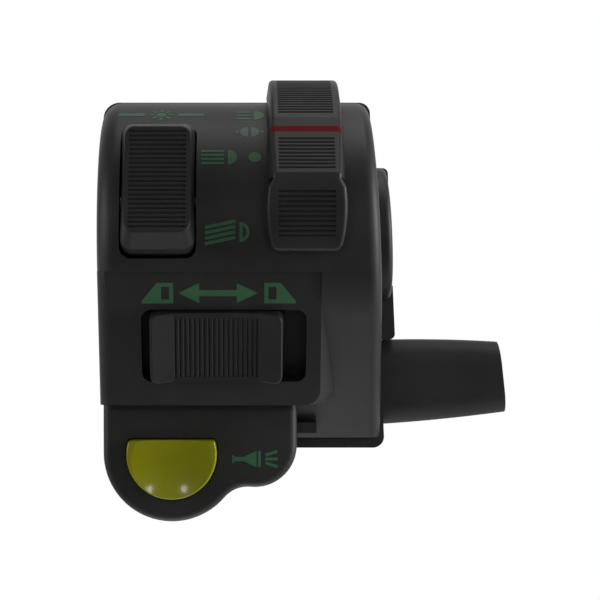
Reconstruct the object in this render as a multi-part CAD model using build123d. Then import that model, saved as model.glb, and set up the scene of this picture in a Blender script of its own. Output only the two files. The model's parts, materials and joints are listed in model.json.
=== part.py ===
from build123d import *
from math import acos, atan2, cos, degrees, hypot, radians, sin, sqrt, tan
import os

# Handlebar switch cluster, in millimetres. The origin is the middle of the handlebar, which runs
# along X. The rider looks at the -Y side, and Z is up. The two shells meet on the plane y = 0.
# Angles are in degrees above straight ahead, about the bar, unless a comment says otherwise.

# Handlebar and shells
bar_radius = 11.1
bar_clearance = 0.05
wall = 2.2
overrun = 5.0
reach_everywhere = 90.0
fit_clearance = 0.05
barrel_radius = 28.0
left_reach = 29.2
right_reach = 28.1
right_lean = 2.5
left_edge_radius = 4.0
right_edge_radius = 2.6
rim_drop = 43.7
rim_land = 1.5

# Turn signal pod on the front shell
pod_step = 0.78
pod_tilt = 18.7
pod_top_along = 0.35
pod_bottom_drop = 35.9
pod_right = 16.3
pod_side_draft = 25.0
pod_corner_radius = 3.5
pod_left_radius = 2.5

# Horn block below the pod
plate_reach = 12.0
lobe_x = -14.4
lobe_drop = 46.2
lobe_radius = 14.4
bump_offset = 17.3
bump_rise = 1.6
bump_radius = 8.8
neck_radius = 6.5
plate_edge_radius = 1.6
stop_tab_length = 4.3
stop_tab_rise = 6.0
stop_tab_height = 2.2
stop_tab_reach = 6.0

# Rear shell
rear_lip = 0.3
rear_left_lip = 0.4
rear_right_lip = 0.8
rear_drop = 2.3
rear_depth = 17.0
rear_corner_radius = 12.0
rear_foot_radius = 6.0
rear_left_radius = 3.5
rear_right_radius = 2.4
rear_lobe_inset = 0.25
rear_lobe_depth = 6.0
rear_lobe_edge_radius = 2.0
collar_radius = 14.2
collar_drop = 22.7
collar_proud = 4.1
collar_edge_radius = 1.2
front_collar_proud = 3.4

# Half round saddles that grip the bar, the same in both shells
saddle_wall = 2.25
left_saddle_end = -24.6
middle_saddle = (-4.0, 2.0)
middle_web = 2.4
right_saddle_start = 23.0

# Clamp screws and the inserts they turn into
clamp_screw_radius = 2.5
clamp_head_radius = 4.6
clamp_head_height = 3.2
clamp_recess_width = 1.1
clamp_recess_depth = 1.8
clamp_seat_depth = 11.0
clamp_screw_reach = 8.0
clamp_upper = (-2.0, 19.5)
clamp_lower = (3.0, -38.0)
clamp_boss_wall = 1.9
insert_wall = 0.9
insert_length = 8.0
insert_inset = 0.8

# Small screws that hold the contact bases
base_screw_radius = 1.15
base_head_radius = 2.0
base_head_height = 1.2
base_screw_bite = 4.0
pillar_radius = 1.95

# Dimmer rocker
rocker_angle = 19.0
rocker_mid_angle = 14.0
rocker_x = -16.72
rocker_width = 14.75
rocker_length = 27.2
rocker_draft_x = 0.75
rocker_draft_along = 2.2
rocker_base_below = 1.0
rocker_proud = 3.0
rocker_skirt = 6.0
rocker_corner_radius = 2.2
rocker_edge_radius = 0.5
rocker_dish = 0.35
rocker_wall = 1.6
rocker_top_wall = 2.4
rocker_web = 5.4
rocker_gap = 0.35
rocker_travel = 10.0
rocker_rib_margin = 0.9
rib_pitch = 0.98
rib_width = 0.62
rib_depth = 0.28
pivot_below = 5.5
pivot_radius = 1.25
pivot_lug_half = 2.6
pivot_lug_thickness = 2.0
pivot_lug_gap = 0.45
lever_radius = 2.9
lever_length = 5.5
plunger_radius = 1.45
plunger_reach = 6.85
plunger_length = 3.6
plunger_tip_radius = 0.9
spring_gap = 0.1
dimmer_spring_length = 1.6
blade_gap = 0.25
blade_thickness = 0.5
blade_width = 5.0
blade_length = 13.0
blade_lift = 1.0
blade_tilt = 4.0
rivet_radius = 1.0
rivet_height = 0.2
rivet_along = 5.6
ridge_height = 0.8
ridge_width = 1.4
base_thickness = 1.5
dimmer_base_half = 10.4
dimmer_base_left = -23.0
dimmer_base_right = -4.9
dimmer_pillar_x = -7.0
dimmer_pillar_along = 8.4
pad_height = 0.25
pad_length = 3.0
tab_width = 2.4
tab_thickness = 0.8
dimmer_tail = 2.2

# Lights selector, which turns about the bar
knob_x = 13.1
knob_width = 15.4
knob_gap = 0.85
knob_side_draft = 1.2
knob_toe_angle = -9.0
knob_toe_height = 3.2
knob_belly_angle = 4.0
knob_belly_height = 5.3
knob_crest_angle = 17.7
knob_crest_height = 7.6
knob_shoulder_angle = 43.0
knob_shoulder_height = 5.3
knob_back_angle = 88.5
knob_back_height = 4.8
knob_edge_radius = 0.9
knob_end_radius = 1.4
knob_toe_radius = 1.8
knob_brow_half = 6.7
knob_brow_drop = 1.8
knob_pad_half = 7.7
knob_bow_half = 7.95
knob_foot_half = 6.2
knob_top = 9.0
knob_rib_margin = 1.5
back_ribs = (46.0, 78.0)
back_rib_step = 1.6
facet_rib_share = (0.10, 0.66)
belly_rib_share = (0.20, 0.80)
index_share = 0.79
index_width = 1.6
index_depth = 0.8
selector_mid_angle = 27.0
selector_turn = 14.0
stem_half_angle = 5.0
stem_width = 8.0
stem_depth = 4.3
slot_angle_gap = 0.6
slot_side_gap = 0.3
carrier_gap = 0.6
carrier_thickness = 7.7
carrier_half_angle = 15.0
carrier_left = 8.0
carrier_right = 21.4
carrier_socket_angle_gap = 0.25
ball_radius = 1.5
ball_clearance = 0.06
detent_x = 19.6
detent_depth = 0.3
detent_spring_length = 3.2
selector_contact_half_angle = 7.0
selector_contact_width = 7.4
selector_contact_thickness = 0.75
contact_gap = 0.35
strip_thickness = 0.8
strip_width = 1.8
strip_pitch = 3.4
strip_count = 3
strip_angles = (-2.0, 57.0)
selector_base_angles = (-5.0, 60.0)
selector_base_thickness = 2.6
selector_base_left = 3.2
selector_base_right = 20.0
selector_pillar_angles = (4.0, 51.0)
selector_pillar_x = 5.25
selector_tail = 0.8
selector_tail_angle = 55.0

# Turn signal slider
slot_along = -15.7
slot_x = -3.5
slot_width = 33.6
slot_height = 15.6
slot_corner_radius = 2.0
pocket_depth = 4.5
pocket_wall = 1.5
slider_x = -5.04
slider_width = 27.8
slider_gap = 0.35
slider_floor_gap = 0.2
slider_crest = 3.0
slider_valley = 1.3
slider_dish = 0.25
slider_crest_inset = 0.5
slider_facet = 5.2
slider_edge_radius = 0.4
slider_travel = 4.0
turn_rib_pitch = 0.98
turn_rib_margin = 1.2
turn_stem_width = 8.0
turn_stem_height = 5.4
turn_stem_depth = 4.9
turn_carrier_gap = 0.6
turn_carrier_thickness = 5.2
turn_carrier_half = 8.5
turn_carrier_half_height = 6.8
turn_ball_x = 0.0
turn_ball_along = 4.9
turn_spring_length = 2.9
detent_spring_turns = 3
detent_wire_share = 0.14
rail_gap = 0.3
rail_thickness = 1.2
rail_depth = 2.6
turn_contact_thickness = 0.6
turn_contact_half = 4.6
turn_contact_gap = 0.45
turn_base_half = 15.6
turn_base_half_height = 7.4
turn_base_thickness = 2.2
turn_boss_offset = 13.4
turn_tail = 2.4
turn_tab_offsets = (-6.4, 0.0, 6.4)

# Horn button
horn_radius = 9.4
horn_flat = 2.9
horn_gap = 0.35
horn_corner_radius = 0.9
horn_proud = 3.2
horn_dish = 1.3
horn_edge_radius = 0.6
horn_travel = 2.5
horn_flange_width = 1.2
horn_flange_thickness = 1.2
horn_flange_gap = 0.3
horn_stem_radius = 2.4
horn_stem_length = 2.0
horn_contact_radius = 2.6
horn_contact_thickness = 0.6
horn_contact_gap = 0.3
horn_pad_height = 0.3
horn_base_radius = 11.4
horn_base_top = 9.4
horn_base_half = 10.2
horn_base_thickness = 2.0
horn_boss_offset = 7.5
horn_boss_above = 7.0
horn_tail = 2.6
horn_tab_offset = 5.8
horn_spring_radius = 4.6
horn_spring_wire = 0.35
horn_spring_turns = 4.0

# Rubber cable boot
boot_depth_centre = 8.1
boot_root_height = 18.5
boot_root_depth = 13.6
boot_root_drop = 32.35
boot_waist_x = 41.0
boot_waist_height = 17.7
boot_end_height = 15.4
boot_end_depth = 12.4
boot_end_drop = 31.0
boot_end_x = 56.8
boot_end_tilt = 6.0
boot_corner_radius = 5.2
boot_hole_radius = 5.0
boot_hole_drop = 31.2
boot_neck_inset = 1.3
boot_flange_thickness = 1.8
boot_flange_inset = 0.3
boot_gap = 0.1

# Values worked out from the ones above
slider_corner_radius = slot_corner_radius - slider_gap
horn_x = lobe_x
horn_drop = lobe_drop
bump_x = lobe_x + bump_offset
bump_drop = lobe_drop - bump_rise
stop_tab_drop = lobe_drop - stop_tab_rise
bore_radius = bar_radius + bar_clearance
inner_radius = barrel_radius - wall
rear_radius = barrel_radius + rear_lip
rear_bottom = rim_drop + rear_drop
slope_angle = degrees(atan2(rim_drop, rim_land)) - degrees(acos(barrel_radius / hypot(rim_land, rim_drop)))
pod_reach = barrel_radius - pod_step
pivot_out = barrel_radius - pivot_below
lever_along = -pivot_out * sin(radians(rocker_angle - rocker_mid_angle))
lever_out = pivot_out * cos(radians(rocker_angle - rocker_mid_angle))
rocker_face = barrel_radius + rocker_proud
rocker_base = barrel_radius - rocker_base_below
blade_out = pivot_out - plunger_reach - blade_gap - blade_thickness
dimmer_base_out = blade_out - blade_lift
knob_inner = barrel_radius + knob_gap
carrier_outer = inner_radius - carrier_gap
carrier_inner = carrier_outer - carrier_thickness
contact_inner = carrier_inner - selector_contact_thickness
strip_outer = contact_inner - contact_gap
selector_base_outer = strip_outer - strip_thickness
selector_base_inner = selector_base_outer - selector_base_thickness
tub_out = pod_reach - pocket_depth - pocket_wall
turn_carrier_out = tub_out - turn_carrier_gap
turn_carrier_in = turn_carrier_out - turn_carrier_thickness
turn_contact_in = turn_carrier_in - turn_contact_thickness
turn_base_out = turn_contact_in - turn_contact_gap - pad_height
turn_base_in = turn_base_out - turn_base_thickness
flange_out = plate_reach - wall - horn_flange_gap
flange_in = flange_out - horn_flange_thickness
horn_contact_in = flange_in - horn_stem_length - horn_contact_thickness
horn_base_out = horn_contact_in - horn_travel - horn_contact_gap - horn_pad_height
horn_base_in = horn_base_out - horn_base_thickness
insert_radius = clamp_screw_radius + insert_wall


def facing(angle):
    """A plane through the bar's axis whose normal points this many degrees above straight ahead."""
    outward = (0, -cos(radians(angle)), sin(radians(angle)))
    return Plane(origin=(0, 0, 0), x_dir=(1, 0, 0), z_dir=outward)


def side_point(angle, along, out):
    """The (y, z) of a point, given along and out from a plane that faces this angle."""
    turn = radians(angle)
    return (along * sin(turn) - out * cos(turn), along * cos(turn) + out * sin(turn))


def ring_point(radius, angle):
    """The (y, z) where a radius about the bar meets a direction."""
    return side_point(angle, 0, radius)


def ring_arc(radius, low, high):
    """An arc about the bar between two directions."""
    middle = ring_point(radius, (low + high) / 2)
    return ThreePointArc(ring_point(radius, low), middle, ring_point(radius, high))


def face_of(outline):
    """A flat face inside a closed outline of lines and arcs."""
    return make_face([edge for piece in outline for edge in piece.edges()])


def along_bar(outline, left, right):
    """A side view, drawn as (y, z), given its width along the bar."""
    return extrude(Plane.YZ.offset(left).location * face_of(outline), amount=right - left, dir=(1, 0, 0))


def toward_rider(face, front, back):
    """A front view, drawn as (x, z), given its depth between two values of y."""
    return extrude(Plane.XZ.offset(-back).location * face, amount=back - front, dir=(0, -1, 0))


def block(plane, across, along, out):
    """A box between pairs of values along a plane's three directions."""
    centre = Pos(sum(across) / 2, sum(along) / 2, sum(out) / 2)
    return plane.location * centre * Box(across[1] - across[0], along[1] - along[0], out[1] - out[0])


def rod(plane, x, along, radius, low, high):
    """A round bar square to a plane, between two distances out from it."""
    return plane.location * Pos(x, along, (low + high) / 2) * Cylinder(radius, high - low)


def around(middle, half):
    """The pair of values at a half width each side of a middle."""
    return (middle - half, middle + half)


def ring_block(inner, outer, angles, across):
    """A block between two radii about the bar and two directions."""
    low, high = angles
    outline = [
        ring_arc(inner, low, high),
        Line(ring_point(inner, high), ring_point(outer, high)),
        ring_arc(outer, low, high),
        Line(ring_point(outer, low), ring_point(inner, low)),
    ]
    return along_bar(outline, across[0], across[1])


def side_x(height, extra):
    """How far right the leaning right wall stands at a height."""
    return right_reach + extra - height * tan(radians(right_lean))


def width_block(left_extra, right_extra):
    """The room between the straight left wall and the leaning right wall."""
    left = -left_reach - left_extra
    corners = [
        (left, reach_everywhere),
        (side_x(reach_everywhere, right_extra), reach_everywhere),
        (side_x(-reach_everywhere, right_extra), -reach_everywhere),
        (left, -reach_everywhere),
    ]
    face = face_of([Polyline(*corners, close=True)])
    return toward_rider(face, -reach_everywhere, reach_everywhere)


def barrel_outline(inset):
    """Side view of the barrel and of the slope that runs off it down to the rim."""
    radius = barrel_radius - inset
    tangent = ring_point(radius, -slope_angle)
    foot_z = inset - rim_drop
    foot_y = tangent[0] + (tangent[1] - foot_z) * tan(radians(slope_angle))
    return [
        Line((overrun, radius), (0, radius)),
        ring_arc(radius, -slope_angle, 90),
        Line(tangent, (foot_y, foot_z)),
        Line((foot_y, foot_z), (overrun, foot_z)),
        Line((overrun, foot_z), (overrun, radius)),
    ]


def pod_face_y(inset, height):
    """How far forward the pod's tilted face lies at a height."""
    turn = radians(pod_tilt)
    return -(pod_reach - inset + sin(turn) * height) / cos(turn)


def pod_outline(inset):
    """Side view of the turn signal pod, from its top edge down to its floor."""
    top = side_point(-pod_tilt, pod_top_along, pod_reach - inset)
    floor = inset - pod_bottom_drop
    return [
        Polyline(
            top,
            (pod_face_y(inset, floor), floor),
            (0, floor),
            (0, top[1]),
            close=True,
        )
    ]


def polar(centre, radius, angle):
    """A point at a radius and an angle from a centre, in the front view."""
    return (centre[0] + radius * cos(radians(angle)), centre[1] + radius * sin(radians(angle)))


def horn_outline(inset, top):
    """Front view of the horn block: a large round lobe and a small one, with a hollow between."""
    lobe = (lobe_x, -lobe_drop)
    bump = (bump_x, -bump_drop)
    lobe_arm = lobe_radius + neck_radius
    bump_arm = bump_radius + neck_radius
    span = hypot(bump[0] - lobe[0], bump[1] - lobe[1])
    bearing = atan2(bump[1] - lobe[1], bump[0] - lobe[0])
    turn = acos((span**2 + lobe_arm**2 - bump_arm**2) / (2 * span * lobe_arm))
    lobe_angle = degrees(bearing - turn)
    neck = polar(lobe, lobe_arm, lobe_angle)
    bump_angle = degrees(atan2(neck[1] - bump[1], neck[0] - bump[0]))
    lobe_size = lobe_radius - inset
    bump_size = bump_radius - inset
    neck_size = neck_radius + inset
    left = (lobe[0] - lobe_size, lobe[1])
    right = (bump[0] + bump_size, bump[1])
    neck_left = polar(lobe, lobe_size, lobe_angle)
    neck_right = polar(bump, bump_size, bump_angle)
    neck_top = polar(neck, neck_size, (lobe_angle + 180 + bump_angle + 180) / 2)
    return [
        ThreePointArc(left, polar(lobe, lobe_size, (lobe_angle - 180) / 2), neck_left),
        ThreePointArc(neck_left, neck_top, neck_right),
        ThreePointArc(neck_right, polar(bump, bump_size, bump_angle / 2), right),
        Line(right, (right[0], top)),
        Line((right[0], top), (left[0], top)),
        Line((left[0], top), left),
    ]


def saddles():
    """Rings about the bar, which each shell cuts its half from."""
    outer = bore_radius + saddle_wall
    spans = (
        (-left_reach - overrun, left_saddle_end),
        middle_saddle,
        (right_saddle_start, right_reach + overrun),
    )
    rings = [rod(Plane.YZ, 0, 0, outer, low, high) for low, high in spans]
    return rings[0] + rings[1] + rings[2]


def saddle_web():
    """The web on the parting plane that ties the middle saddle to the shells."""
    heights = (clamp_lower[1] + insert_radius, barrel_radius)
    return block(facing(0), middle_saddle, heights, around(0, middle_web))


def bar_hole():
    """The room that the handlebar takes."""
    return rod(Plane.YZ, 0, 0, bore_radius, -reach_everywhere, reach_everywhere)


def horn_front():
    """The horn block of the front shell, with its front edge rounded."""
    body = toward_rider(face_of(horn_outline(0, -pod_bottom_drop + overrun)), -plate_reach, overrun)
    front = body.faces().sort_by(Axis.Y)[0]
    edges = [edge for edge in front.edges() if edge.center().Z < -pod_bottom_drop]
    return fillet(edges, plate_edge_radius)


def pod_side_cut():
    """What lies to the right of the pod's drafted right wall."""
    flare = reach_everywhere * tan(radians(pod_side_draft))
    corners = [
        (pod_right, pod_reach),
        (pod_right + flare, pod_reach - reach_everywhere),
        (reach_everywhere, pod_reach - reach_everywhere),
        (reach_everywhere, reach_everywhere),
        (pod_right, reach_everywhere),
    ]
    outward = facing(-pod_tilt)
    across = Plane(origin=(0, 0, 0), x_dir=(1, 0, 0), z_dir=-outward.y_dir)
    face = across.location * face_of([Polyline(*corners, close=True)])
    return extrude(face, amount=reach_everywhere, both=True)


def pod_front():
    """The turn signal pod of the front shell."""
    body = along_bar(pod_outline(0), -left_reach - overrun, reach_everywhere) & width_block(0, 0)
    body = body - pod_side_cut()
    lowest = body.faces().sort_by(Axis.Z)[0]
    corner = lowest.edges().sort_by(Axis.X)[-1]
    body = fillet(corner, pod_corner_radius)
    face_edges = body.faces().sort_by(Axis.Y)[0].edges()
    left_edge = face_edges.sort_by(Axis.X)[0]
    return fillet(left_edge, pod_left_radius)


def barrel_front():
    """The barrel and its slope, rounded along both side walls."""
    body = along_bar(barrel_outline(0), -reach_everywhere, reach_everywhere) & width_block(0, 0)
    for end, radius in ((0, left_edge_radius), (-1, right_edge_radius)):
        face = body.faces().sort_by(Axis.X)[end]
        edges = [edge for edge in face.edges() if edge.center().Y < 0 or edge.center().Z > 0]
        edges = [edge for edge in edges if edge.center().Y < overrun - fit_clearance]
        body = fillet(edges, radius)
    ahead = block(
        facing(-pod_tilt),
        (-reach_everywhere, pod_right),
        (-reach_everywhere, pod_top_along),
        (pod_reach, reach_everywhere),
    )
    return body - ahead


def front_collar():
    """The front half of the collar at the right end, which stands a little less proud."""
    body = rod(Plane.YZ, 0, 0, collar_radius, right_saddle_start, reach_everywhere)
    body &= width_block(0, front_collar_proud)
    end = body.faces().sort_by(Axis.X)[-1]
    return fillet(end.edges(), collar_edge_radius)


def front_outside():
    """The front shell as a solid, before it is hollowed."""
    tab_left = bump_x + bump_radius - wall
    tab = block(
        facing(0),
        (tab_left, tab_left + wall + stop_tab_length),
        (-stop_tab_drop - stop_tab_height, -stop_tab_drop),
        (-overrun, stop_tab_reach),
    )
    return barrel_front() + pod_front() + horn_front() + front_collar() + tab


def front_cavity():
    """The room inside the front shell, before the posts and pockets that stand in it."""
    inside = width_block(-wall, -wall)
    barrel = along_bar(barrel_outline(wall), -reach_everywhere, reach_everywhere) & inside
    ahead = block(
        facing(-pod_tilt),
        (-reach_everywhere, pod_right - wall),
        (-reach_everywhere, reach_everywhere),
        (pod_reach - wall, reach_everywhere),
    )
    pod = along_bar(pod_outline(wall), -reach_everywhere, pod_right - wall) & inside
    horn = toward_rider(face_of(horn_outline(wall, wall - pod_bottom_drop)), wall - plate_reach, overrun)
    return (barrel - ahead) + pod + horn


def rounded_prism(plane, x, along, width, height, radius, low, high):
    """A prism with rounded corners, square to a plane."""
    face = plane.location * Pos(x, along, low) * RectangleRounded(width, height, radius)
    return extrude(face, amount=high - low, dir=plane.z_dir)


def clamp_places():
    """Where the two clamp screws stand, in the front view."""
    return (clamp_upper, clamp_lower)


def dimmer_pillars():
    """Where the dimmer base's screws stand: plane, x, along, tip of the post."""
    plane = facing(rocker_mid_angle)
    return [(plane, dimmer_pillar_x, side * dimmer_pillar_along, dimmer_base_out) for side in (-1, 1)]


def selector_pillars():
    """Where the selector base's screws stand."""
    return [(facing(angle), selector_pillar_x, 0, selector_base_outer) for angle in selector_pillar_angles]


def turn_pillars():
    """Where the turn base's screws stand."""
    plane = facing(-pod_tilt)
    return [(plane, slot_x + side * turn_boss_offset, slot_along, turn_base_out) for side in (-1, 1)]


def horn_pillars():
    """Where the horn base's screws stand."""
    height = horn_boss_above - horn_drop
    return [(facing(0), horn_x + side * horn_boss_offset, height, horn_base_out) for side in (-1, 1)]


def all_pillars():
    return dimmer_pillars() + selector_pillars() + turn_pillars() + horn_pillars()


def lug_spans():
    """The two lengths along the bar where the rocker's pin is held."""
    left = rocker_x - rocker_width / 2 - pivot_lug_gap
    right = rocker_x + rocker_width / 2 + pivot_lug_gap
    return ((left - pivot_lug_thickness, left), (right, right + pivot_lug_thickness))


def front_posts():
    """Everything that stands inside the front shell."""
    plane = facing(rocker_mid_angle)
    posts = saddles()
    posts += saddle_web()
    for low, high in lug_spans():
        pivot = side_point(rocker_mid_angle, 0, pivot_out)
        posts += rod(Plane.YZ, pivot[0], pivot[1], pivot_lug_half, low, high)
        posts += block(plane, (low, high), around(0, pivot_lug_half), (pivot_out, barrel_radius))
    for x, z in clamp_places():
        posts += rod(facing(0), x, z, insert_radius + clamp_boss_wall, -overrun, barrel_radius)
    for post_plane, x, along, tip in all_pillars():
        posts += rod(post_plane, x, along, pillar_radius, tip, barrel_radius)
    tilted = facing(-pod_tilt)
    posts += rounded_prism(
        tilted,
        slot_x,
        slot_along,
        slot_width + 2 * pocket_wall,
        slot_height + 2 * pocket_wall,
        slot_corner_radius + pocket_wall,
        tub_out,
        barrel_radius,
    )
    for side in (-1, 1):
        edge = slot_along + side * (turn_carrier_half_height + rail_gap)
        outer = edge + side * rail_thickness
        posts += block(
            tilted,
            around(slider_x + slider_travel / 2, turn_carrier_half),
            (min(edge, outer), max(edge, outer)),
            (tub_out - rail_depth, tub_out + pocket_wall),
        )
    return posts


def rocker_window():
    """The opening for the rocker, sized to its swing."""
    swing = radians(rocker_travel / 2)
    tip_out = rocker_base - lever_out
    reaches = []
    for tip in (rocker_length / 2 - lever_along, -rocker_length / 2 - lever_along):
        for turn in (swing, -swing):
            reaches.append(tip * cos(turn) - tip_out * sin(turn))
    low = min(reaches) - rocker_gap
    high = max(reaches) + rocker_gap
    return rounded_prism(
        facing(rocker_mid_angle),
        rocker_x,
        (low + high) / 2,
        rocker_width + 2 * rocker_gap,
        high - low,
        rocker_corner_radius,
        rocker_base - rocker_skirt - wall,
        barrel_radius + overrun,
    )


def selector_window():
    """The curved slot that the selector's stem runs along."""
    half = stem_half_angle + selector_turn + slot_angle_gap
    across = around(knob_x, stem_width / 2 + slot_side_gap)
    return ring_block(inner_radius - wall, barrel_radius + wall, around(selector_mid_angle, half), across)


def turn_window():
    """The slider's pocket, and the smaller slot in its floor for the stem."""
    tilted = facing(-pod_tilt)
    pocket = rounded_prism(
        tilted,
        slot_x,
        slot_along,
        slot_width,
        slot_height,
        slot_corner_radius,
        pod_reach - pocket_depth,
        barrel_radius + overrun,
    )
    stem = block(
        tilted,
        around(slider_x + slider_travel / 2, (turn_stem_width + slider_travel) / 2 + slot_side_gap),
        around(slot_along, turn_stem_height / 2 + slot_side_gap),
        (tub_out - fit_clearance, barrel_radius),
    )
    return pocket + stem


def horn_face(grow):
    """The horn button's outline: a circle with a flat top."""
    size = horn_radius + grow
    top = horn_flat + grow
    disc = Circle(size)
    lower = Pos(0, top - size) * Rectangle(2 * size, 2 * size)
    shape = disc & lower
    corners = shape.vertices().sort_by(Axis.Y)[-2:]
    return Pos(horn_x, -horn_drop) * fillet(corners, horn_corner_radius)


def horn_prism(grow, low, high):
    """The horn button's outline given a depth, measured forward from the parting plane."""
    return toward_rider(horn_face(grow), -high, -low)


def detent_balls_selector():
    """The middles of the three dimples that the selector's ball drops into."""
    ball_out = inner_radius + detent_depth - ball_radius
    angles = [selector_mid_angle + step * selector_turn for step in (-1, 0, 1)]
    return [(detent_x, *ring_point(ball_out, angle)) for angle in angles]


def detent_balls_turn():
    """The middles of the three dimples that the slider's ball drops into."""
    ball_out = tub_out + detent_depth - ball_radius
    along = slot_along + turn_ball_along
    places = [slider_x + turn_ball_x + share * slider_travel for share in (0, 0.5, 1)]
    return [(x, *side_point(-pod_tilt, along, ball_out)) for x in places]


def front_holes():
    """Holes in the front shell for screws, inserts, the pin and the detent balls."""
    holes = bar_hole()
    for x, z in clamp_places():
        depth = insert_inset + insert_length + fit_clearance
        holes += rod(facing(0), x, z, insert_radius + fit_clearance, -overrun, depth)
    for plane, x, along, tip in all_pillars():
        depth = tip + base_screw_bite + fit_clearance
        holes += rod(plane, x, along, base_screw_radius + fit_clearance, tip - fit_clearance, depth)
    low, high = lug_spans()
    pivot = side_point(rocker_mid_angle, 0, pivot_out)
    holes += rod(Plane.YZ, pivot[0], pivot[1], pivot_radius + fit_clearance, low[0], high[1])
    for place in detent_balls_selector() + detent_balls_turn():
        holes += Pos(*place) * Sphere(ball_radius)
    return holes


def front_shell():
    """The shell that the rider sees, with its posts, pockets and windows."""
    shell = front_outside() - (front_cavity() - front_posts())
    shell -= rocker_window()
    shell -= selector_window()
    shell -= turn_window()
    shell -= horn_prism(horn_gap, 0, plate_reach + overrun)
    shell -= front_holes()
    behind = block(
        facing(0),
        around(0, reach_everywhere),
        around(0, reach_everywhere),
        (-reach_everywhere, 0),
    )
    return shell - behind


def rear_outline(inset):
    """Side view of the rear shell, from its top edge round the back to its foot."""
    radius = rear_radius - inset
    depth = rear_depth - inset
    corner = rear_corner_radius - inset
    foot = rear_foot_radius - inset
    corner_y = rear_depth - rear_corner_radius
    corner_z = sqrt((rear_radius - rear_corner_radius) ** 2 - corner_y**2)
    turn = degrees(atan2(corner_y, corner_z)) + 90
    foot_y = rear_depth - rear_foot_radius
    foot_z = rear_foot_radius - rear_bottom
    low = inset - rear_bottom
    half = radians((turn - 90) / 2 + 45)
    return [
        Line((-overrun, radius), (0, radius)),
        ring_arc(radius, 90, turn),
        ThreePointArc(
            ring_point(radius, turn),
            (corner_y + corner * sin(half), corner_z + corner * cos(half)),
            (depth, corner_z),
        ),
        Line((depth, corner_z), (depth, foot_z)),
        ThreePointArc(
            (depth, foot_z),
            (foot_y + foot * cos(radians(45)), foot_z - foot * sin(radians(45))),
            (foot_y, low),
        ),
        Line((foot_y, low), (-overrun, low)),
        Line((-overrun, low), (-overrun, radius)),
    ]


def rear_body():
    """The main part of the rear shell, rounded along both side walls."""
    body = along_bar(rear_outline(0), -reach_everywhere, reach_everywhere)
    body &= width_block(rear_left_lip, rear_right_lip)
    for end, radius in ((0, rear_left_radius), (-1, rear_right_radius)):
        face = body.faces().sort_by(Axis.X)[end]
        edges = [edge for edge in face.edges() if edge.center().Y > -overrun + fit_clearance]
        body = fillet(edges, radius)
    return body


def rear_lobe():
    """The part of the rear shell that closes the horn block from behind."""
    outline = horn_outline(rear_lobe_inset, -pod_bottom_drop)
    lobe = toward_rider(face_of(outline), -overrun, rear_lobe_depth)
    back = lobe.faces().sort_by(Axis.Y)[-1]
    return fillet(back.edges().sort_by(Axis.Z)[:-1], rear_lobe_edge_radius)


def rear_collar():
    """The half collar that stands out round the bar at the right end."""
    outline = [
        ThreePointArc(
            (0, collar_radius),
            (collar_radius * sin(radians(45)), collar_radius * cos(radians(45))),
            (collar_radius, 0),
        ),
        Line((collar_radius, 0), (collar_radius, -collar_drop)),
        Line((collar_radius, -collar_drop), (0, -collar_drop)),
        Line((0, -collar_drop), (0, collar_radius)),
    ]
    body = along_bar(outline, right_saddle_start, reach_everywhere) & width_block(0, collar_proud)
    end = body.faces().sort_by(Axis.X)[-1]
    edges = [edge for edge in end.edges() if edge.center().Y > 0 + fit_clearance]
    return fillet(edges, collar_edge_radius)


def boot_section(x, drop, height, depth, corner):
    """A rounded section of the cable boot, square to the bar."""
    plane = Plane(origin=(x, boot_depth_centre, -drop), x_dir=(0, 1, 0), z_dir=(1, 0, 0))
    return plane.location * RectangleRounded(depth, height, corner)


def boot_prism(inset, low, high):
    """The boot's root section, drawn in by an inset and given a length."""
    face = boot_section(
        low,
        boot_root_drop,
        boot_root_height - 2 * inset,
        boot_root_depth - 2 * inset,
        boot_corner_radius - inset,
    )
    return extrude(face, amount=high - low, dir=(1, 0, 0))


def rear_posts():
    """The saddles and screw tubes inside the rear shell."""
    posts = saddles() + saddle_web()
    seat = clamp_seat_depth
    for x, z in clamp_places():
        posts += rod(facing(0), x, z, clamp_screw_radius + clamp_boss_wall, -seat, overrun)
        posts += rod(facing(0), x, z, clamp_head_radius + clamp_boss_wall, -reach_everywhere, wall - seat)
    return posts


def rear_shell():
    """The shell that closes the cluster behind the bar."""
    cavity = along_bar(rear_outline(wall), -reach_everywhere, reach_everywhere)
    cavity &= width_block(rear_left_lip - wall, rear_right_lip - wall)
    lobe_room = face_of(horn_outline(rear_lobe_inset + wall, -pod_bottom_drop))
    cavity += toward_rider(lobe_room, -overrun, rear_lobe_depth - wall)
    shell = rear_body() + rear_lobe() - (cavity - rear_posts())
    shell += rear_collar()
    shell -= bar_hole()
    for x, z in clamp_places():
        shell -= rod(facing(0), x, z, clamp_screw_radius + bar_clearance, -reach_everywhere, overrun)
        head_room = clamp_head_radius + slot_side_gap
        shell -= rod(facing(0), x, z, head_room, -reach_everywhere, -clamp_seat_depth)
    shell -= boot_prism(boot_neck_inset - boot_gap, right_reach - overrun, right_reach + overrun)
    ahead = block(
        facing(0),
        around(0, reach_everywhere),
        around(0, reach_everywhere),
        (0, reach_everywhere),
    )
    return shell - ahead


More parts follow.
